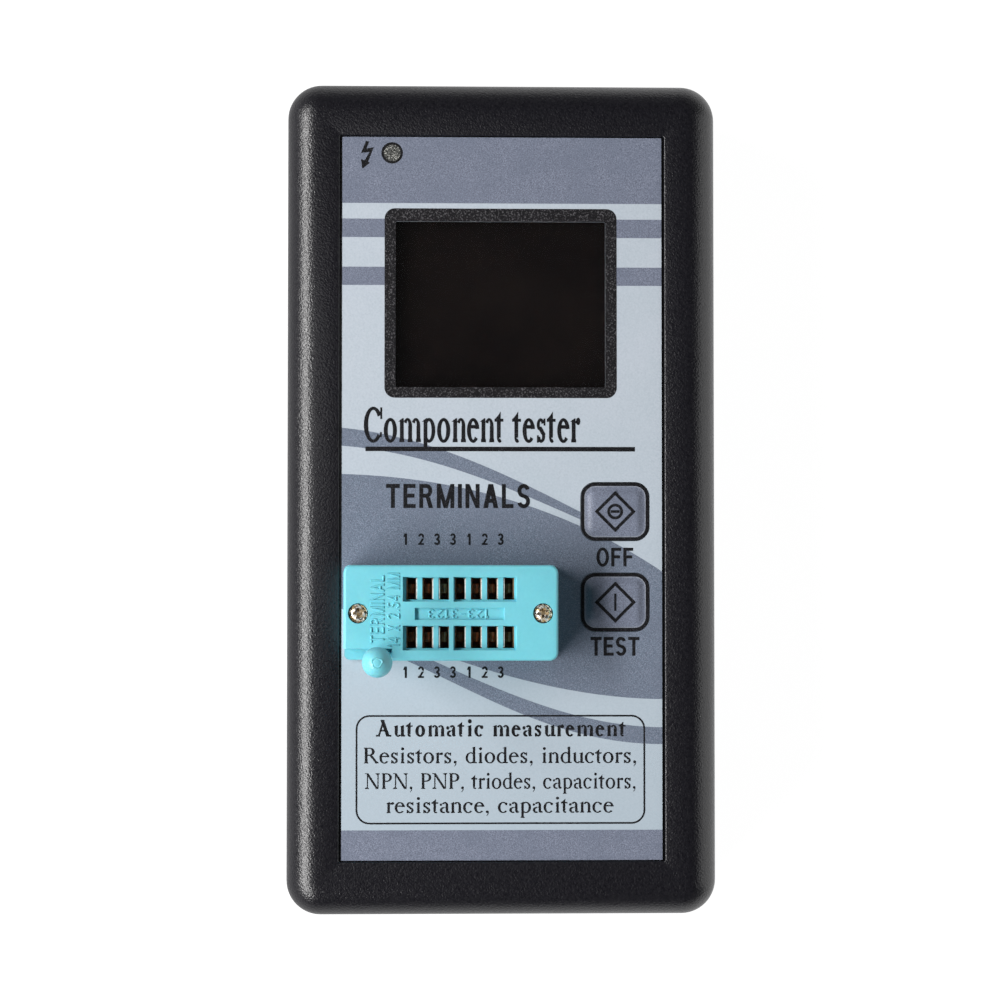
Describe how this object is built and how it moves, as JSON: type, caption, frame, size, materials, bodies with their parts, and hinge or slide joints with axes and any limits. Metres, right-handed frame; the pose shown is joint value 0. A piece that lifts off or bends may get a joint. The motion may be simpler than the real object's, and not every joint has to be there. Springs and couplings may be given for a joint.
{
  "type": "component tester",
  "caption": "Hand-held electronic component tester: flat black case, framed display, membrane keys and a lever-operated zero insertion force test socket.",
  "frame": {"origin": "centre of the back face", "axes": "+X to the right of the front face, +Y up the front face towards the display, +Z out of the front face"},
  "size_m": [0.0688, 0.1334, 0.0461],
  "materials": {
    "case_abs": "fine spark-eroded texture, satin",
    "overlay_print": "printed film, fine matt texture",
    "key_print": "embossed printed film",
    "clear_window": "clear gloss",
    "display_glass": "gloss",
    "tray_plastic": "satin",
    "flex_film": "gloss",
    "board": "solder mask",
    "chip_plastic": "matt",
    "can_metal": "bright",
    "lamp_plastic": "diffused",
    "switch_stem": "satin",
    "socket_plastic": "satin moulded",
    "socket_screw_metal": "polished nickel",
    "contact_metal": "tin plated",
    "screw_steel": "zinc plated",
    "cell_sleeve": "shrink sleeve",
    "spring_metal": "bright nickel"
  },
  "bodies": {
    "case": {"front_case": "case_abs", "rear_case": "case_abs", "overlay_film": "overlay_print", "display_window": "clear_window", "display_panel": "display_glass", "display_frame": "tray_plastic", "display_flex": "flex_film", "main_pcb": "board", "microcontroller": "chip_plastic", "charger_chip": "chip_plastic", "crystal": "can_metal", "capacitor": "can_metal", "usb_port": "can_metal", "charge_led": "lamp_plastic", "off_switch_body": "chip_plastic", "test_switch_body": "chip_plastic", "zif_base": "socket_plastic", "zif_cover": "socket_plastic", "zif_screw_left": "socket_screw_metal", "zif_screw_right": "socket_screw_metal", "battery_cell": "cell_sleeve", "battery_spring": "spring_metal", "battery_contact_plate": "spring_metal", "zif_contact_upper_1": "contact_metal", "zif_contact_upper_2": "contact_metal", "zif_contact_upper_3": "contact_metal", "zif_contact_upper_4": "contact_metal", "zif_contact_upper_5": "contact_metal", "zif_contact_upper_6": "contact_metal", "zif_contact_upper_7": "contact_metal", "zif_contact_lower_1": "contact_metal", "zif_contact_lower_2": "contact_metal", "zif_contact_lower_3": "contact_metal", "zif_contact_lower_4": "contact_metal", "zif_contact_lower_5": "contact_metal", "zif_contact_lower_6": "contact_metal", "zif_contact_lower_7": "contact_metal", "case_screw_1": "screw_steel", "case_screw_2": "screw_steel", "case_screw_3": "screw_steel", "case_screw_4": "screw_steel", "pcb_screw_1": "screw_steel", "pcb_screw_2": "screw_steel", "pcb_screw_3": "screw_steel", "pcb_screw_4": "screw_steel"},
    "lever": {"zif_lever": "socket_plastic"},
    "slider": {"zif_slider": "tray_plastic"},
    "off_key": {"off_key_pad": "key_print"},
    "off_plunger": {"off_switch_plunger": "switch_stem"},
    "test_key": {"test_key_pad": "key_print"},
    "test_plunger": {"test_switch_plunger": "switch_stem"},
    "door": {"battery_door": "case_abs"}
  },
  "joints": [
    {"name": "zif_lever_hinge", "type": "hinge", "parent": "case", "child": "lever", "pos_m": [-0.0197, -0.02499, 0.028], "axis": [0, -1, 0], "range_deg": [0, 90.01]},
    {"name": "zif_slider_slide", "type": "slide", "parent": "case", "child": "slider", "axis": [1, 0, 0], "range_m": [0, 0.00035]},
    {"name": "off_key_press", "type": "slide", "parent": "case", "child": "off_key", "axis": [0, 0, -1], "range_m": [0, 0.00045]},
    {"name": "off_plunger_press", "type": "slide", "parent": "case", "child": "off_plunger", "axis": [0, 0, -1], "range_m": [0, 0.000251]},
    {"name": "test_key_press", "type": "slide", "parent": "case", "child": "test_key", "axis": [0, 0, -1], "range_m": [0, 0.00045]},
    {"name": "test_plunger_press", "type": "slide", "parent": "case", "child": "test_plunger", "axis": [0, 0, -1], "range_m": [0, 0.000251]},
    {"name": "battery_door_slide", "type": "slide", "parent": "case", "child": "door", "axis": [0, -1, 0], "range_m": [0, 0.064]}
  ],
  "couplings": [
    {"joint": "zif_lever_hinge", "follows": "zif_slider_slide", "rad_per_m": 4488},
    {"joint": "off_plunger_press", "follows": "off_key_press", "ratio": 0.55556},
    {"joint": "test_plunger_press", "follows": "test_key_press", "ratio": 0.55556}
  ]
}
